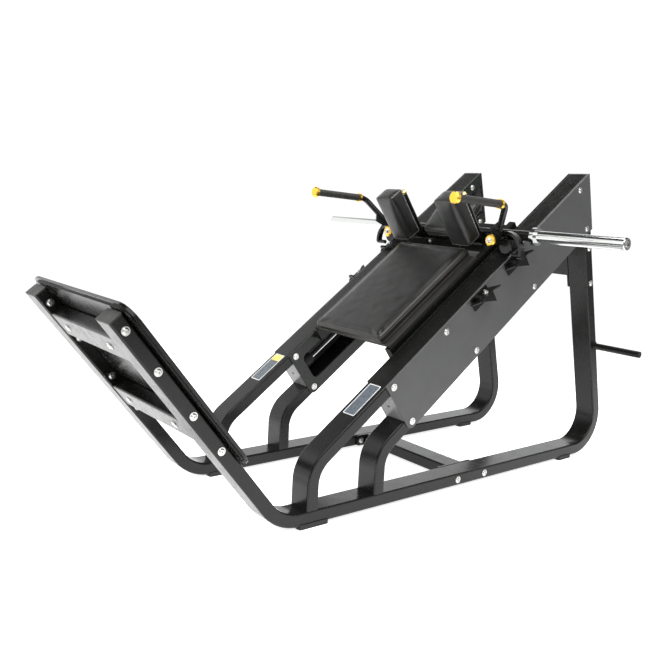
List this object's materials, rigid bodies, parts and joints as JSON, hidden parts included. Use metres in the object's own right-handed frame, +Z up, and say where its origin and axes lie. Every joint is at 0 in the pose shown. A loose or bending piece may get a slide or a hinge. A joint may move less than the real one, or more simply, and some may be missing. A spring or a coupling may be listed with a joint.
{
  "type": "hack squat machine",
  "caption": "Plate-loaded hack squat machine: a padded carriage slides on inclined rail boxes between bent-tube side frames, facing a sloped footplate.",
  "frame": {"origin": "middle of the footprint, on the floor", "axes": "+X from the footplate to the tall rear end, +Y to the right hand of a user lying on the back pad, +Z up"},
  "size_m": [2.4911, 1.704, 1.3137],
  "materials": {
    "black_powder_coat": "satin powder coat",
    "graphite_powder_coat": "satin powder coat",
    "chrome": "polished",
    "zinc_steel": "zinc plated",
    "gold_anodised": "gold anodised",
    "black_rubber": "matte",
    "black_vinyl": "grained vinyl",
    "plywood": "sealed",
    "placard": "printed plate, blank"
  },
  "bodies": {
    "frame": {"left_front_upright": "black_powder_coat", "right_front_upright": "black_powder_coat", "left_base_rail": "black_powder_coat", "right_base_rail": "black_powder_coat", "left_rear_upright": "black_powder_coat", "right_rear_upright": "black_powder_coat", "left_upper_rail": "black_powder_coat", "right_upper_rail": "black_powder_coat", "left_lower_rail": "black_powder_coat", "right_lower_rail": "black_powder_coat", "left_outer_plate": "graphite_powder_coat", "right_outer_plate": "graphite_powder_coat", "left_inner_plate": "black_powder_coat", "right_inner_plate": "black_powder_coat", "rail_end_plates": "black_powder_coat", "left_guide_rod": "chrome", "right_guide_rod": "chrome", "rod_bumpers": "black_rubber", "left_storage_peg": "black_powder_coat", "right_storage_peg": "black_powder_coat", "left_catches": "black_powder_coat", "right_catches": "black_powder_coat", "footplate_pan": "black_powder_coat", "footplate_board": "plywood", "footplate_mat": "black_rubber", "footplate_upper_beam": "black_powder_coat", "footplate_lower_beam": "black_powder_coat", "base_cross_beam": "black_powder_coat", "rear_cross_beam": "black_powder_coat", "rubber_feet": "black_rubber", "tube_end_caps": "black_rubber", "placards": "placard", "plate_bolts": "zinc_steel", "frame_bolts": "zinc_steel", "catch_bolts": "zinc_steel"},
    "carriage": {"carriage_frame": "black_powder_coat", "cross_tube": "black_powder_coat", "left_weight_sleeve": "chrome", "right_weight_sleeve": "chrome", "carriage_bolts": "zinc_steel", "left_bearing_housings": "black_powder_coat", "right_bearing_housings": "black_powder_coat", "linear_bushings": "chrome", "back_pad": "black_vinyl", "back_pad_board": "plywood", "neck_pad": "black_vinyl", "left_shoulder_pad": "black_vinyl", "right_shoulder_pad": "black_vinyl", "left_shoulder_post": "black_powder_coat", "right_shoulder_post": "black_powder_coat", "post_caps": "gold_anodised", "left_pivot_bracket": "black_powder_coat", "right_pivot_bracket": "black_powder_coat", "pivot_collars": "gold_anodised"},
    "left_hook_lever": {"left_lever": "black_powder_coat", "left_grip": "black_rubber", "left_grip_caps": "gold_anodised"},
    "right_hook_lever": {"right_lever": "black_powder_coat", "right_grip": "black_rubber", "right_grip_caps": "gold_anodised"}
  },
  "joints": [
    {"name": "carriage_slide", "type": "slide", "parent": "frame", "child": "carriage", "axis": [0.8039, 0, 0.5948], "range_m": [-0.5, 0.22]},
    {"name": "left_lever_hinge", "type": "hinge", "parent": "carriage", "child": "left_hook_lever", "pos_m": [0.4376, -0.307, 1.013], "axis": [-1, 0, 0], "range_deg": [-6, 25]},
    {"name": "right_lever_hinge", "type": "hinge", "parent": "carriage", "child": "right_hook_lever", "pos_m": [0.4376, 0.307, 1.013], "axis": [1, 0, 0], "range_deg": [-6, 25]}
  ]
}
